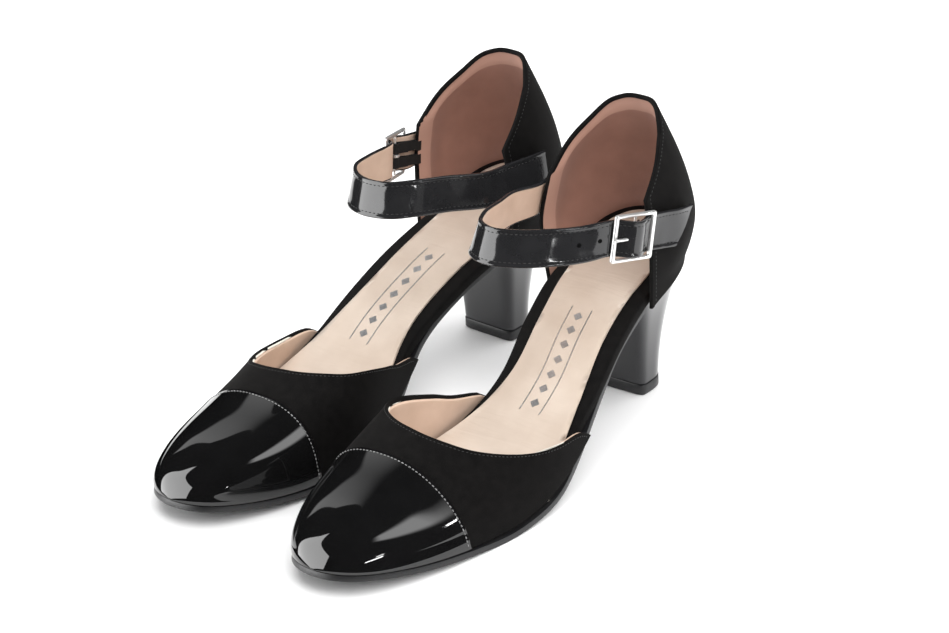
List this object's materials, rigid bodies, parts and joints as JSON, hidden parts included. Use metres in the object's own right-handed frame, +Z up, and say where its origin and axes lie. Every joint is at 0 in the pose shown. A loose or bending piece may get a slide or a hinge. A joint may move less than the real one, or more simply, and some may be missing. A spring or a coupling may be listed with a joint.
{
  "type": "ankle-strap block-heel court shoes",
  "caption": "Pair of black suede ladies' court shoes with patent toe caps, open sides, buckled ankle straps and block heels.",
  "frame": {"origin": "on the floor, under the middle of the pair's bounding box", "axes": "+Z up, +X across the pair from the right shoe to the left shoe, -Y towards the toes"},
  "size_m": [0.1624, 0.2564, 0.1267],
  "materials": {
    "patent": "patent, high gloss",
    "suede": "fine matt nap",
    "lining_leather": "smooth, semi-matt",
    "sock_leather": "smooth, pearly",
    "stiffener_sheet": "matt",
    "interlining": "matt",
    "fibre_board": "matt fibre board",
    "spring_steel": "brushed",
    "cork_filler": "cork and latex",
    "foam": "soft foam sheet",
    "outsole_rubber": "semi-matt",
    "heel_lacquer": "glossy black",
    "top_piece_rubber": "matt",
    "screw_steel": "zinc",
    "buckle_metal": "polished",
    "elastic": "matt woven"
  },
  "bodies": {
    "left_shoe": {"left_toe_cap": "patent", "left_toe_puff": "stiffener_sheet", "left_vamp": "suede", "left_vamp_interlining": "interlining", "left_vamp_lining": "lining_leather", "left_quarter": "suede", "left_counter_stiffener": "stiffener_sheet", "left_quarter_lining": "lining_leather", "left_insole_cover": "suede", "left_insole_board": "fibre_board", "left_shank": "spring_steel", "left_bottom_filler": "cork_filler", "left_insole_foam": "foam", "left_sock_lining": "sock_leather", "left_outsole": "outsole_rubber", "left_heel_block": "heel_lacquer", "left_top_piece": "top_piece_rubber", "left_heel_screw": "screw_steel", "left_heel_nail_1": "screw_steel", "left_heel_nail_2": "screw_steel", "left_heel_nail_3": "screw_steel", "left_heel_nail_4": "screw_steel", "left_buckle_tab": "elastic"},
    "left_strap": {"left_ankle_strap": "patent", "left_strap_lining": "sock_leather"},
    "left_buckle": {"left_buckle_frame": "buckle_metal"},
    "left_prong": {"left_buckle_prong": "buckle_metal"},
    "right_shoe": {"right_toe_cap": "patent", "right_toe_puff": "stiffener_sheet", "right_vamp": "suede", "right_vamp_interlining": "interlining", "right_vamp_lining": "lining_leather", "right_quarter": "suede", "right_counter_stiffener": "stiffener_sheet", "right_quarter_lining": "lining_leather", "right_insole_cover": "suede", "right_insole_board": "fibre_board", "right_shank": "spring_steel", "right_bottom_filler": "cork_filler", "right_insole_foam": "foam", "right_sock_lining": "sock_leather", "right_outsole": "outsole_rubber", "right_heel_block": "heel_lacquer", "right_top_piece": "top_piece_rubber", "right_heel_screw": "screw_steel", "right_heel_nail_1": "screw_steel", "right_heel_nail_2": "screw_steel", "right_heel_nail_3": "screw_steel", "right_heel_nail_4": "screw_steel", "right_buckle_tab": "elastic"},
    "right_strap": {"right_ankle_strap": "patent", "right_strap_lining": "sock_leather"},
    "right_buckle": {"right_buckle_frame": "buckle_metal"},
    "right_prong": {"right_buckle_prong": "buckle_metal"}
  },
  "joints": [
    {"name": "left_strap_open", "type": "hinge", "parent": "left_shoe", "child": "left_strap", "pos_m": [0.00988, 0.0626, 0.0866], "axis": [0, 0, -1], "range_deg": [0, 35], "deforming": ["left_ankle_strap", "left_strap_lining"]},
    {"name": "left_buckle_turn", "type": "hinge", "parent": "left_shoe", "child": "left_buckle", "pos_m": [0.06908, 0.0506, 0.088], "axis": [-0.0536, -0.1648, -0.9849], "range_deg": [0, 30]},
    {"name": "left_prong_turn", "type": "hinge", "parent": "left_buckle", "child": "left_prong", "pos_m": [0.06908, 0.0506, 0.088], "axis": [0.0536, 0.1648, 0.9849], "range_deg": [0, 100]},
    {"name": "right_shoe_lift", "type": "slide", "parent": "left_shoe", "child": "right_shoe", "axis": [0, 0, 1], "range_m": [0, 0.25]},
    {"name": "right_strap_open", "type": "hinge", "parent": "right_shoe", "child": "right_strap", "pos_m": [-0.00426, 0.07322, 0.0866], "axis": [0, 0, 1], "range_deg": [0, 35], "deforming": ["right_ankle_strap", "right_strap_lining"]},
    {"name": "right_buckle_turn", "type": "hinge", "parent": "right_shoe", "child": "right_buckle", "pos_m": [-0.0641, 0.06496, 0.088], "axis": [-0.0431, 0.1678, 0.9849], "range_deg": [0, 30]},
    {"name": "right_prong_turn", "type": "hinge", "parent": "right_buckle", "child": "right_prong", "pos_m": [-0.0641, 0.06496, 0.088], "axis": [0.0431, -0.1678, -0.9849], "range_deg": [0, 100]}
  ],
  "couplings": [
    {"joint": "left_buckle_turn", "follows": "left_strap_open", "ratio": 0.85714},
    {"joint": "left_prong_turn", "follows": "left_strap_open", "ratio": 2.8571},
    {"joint": "right_buckle_turn", "follows": "right_strap_open", "ratio": 0.85714},
    {"joint": "right_prong_turn", "follows": "right_strap_open", "ratio": 2.8571}
  ]
}
